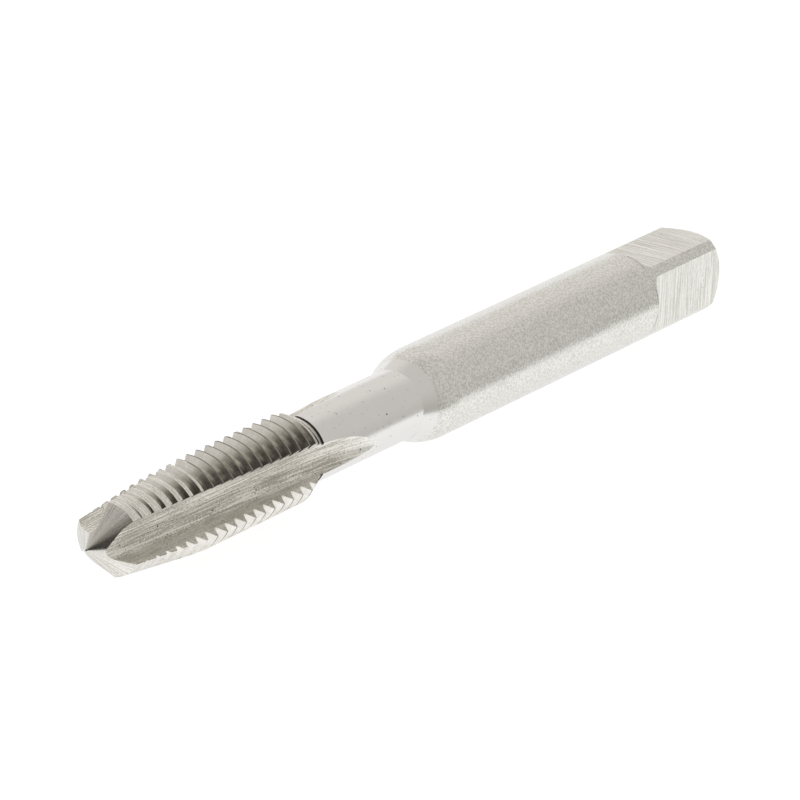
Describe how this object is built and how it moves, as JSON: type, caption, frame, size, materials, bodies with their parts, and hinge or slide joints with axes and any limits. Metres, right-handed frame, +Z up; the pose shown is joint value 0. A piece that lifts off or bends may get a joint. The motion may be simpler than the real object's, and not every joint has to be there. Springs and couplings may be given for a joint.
{
  "type": "thread tap",
  "caption": "Straight-flute hand tap for cutting an M6 by 1 internal thread, with a cone point, a relieved neck, a plain shank and a driving square.",
  "frame": {"origin": "on the tool's axis, in the middle of the plain shank", "axes": "+X along the tool from the cone point to the driving square, +Z up; the tool lies with one flute facing down"},
  "size_m": [0.0682, 0.0062, 0.0062],
  "materials": {
    "ground_steel": "fine-ground, satin"
  },
  "bodies": {
    "root": {"tap": "ground_steel"}
  },
  "joints": []
}
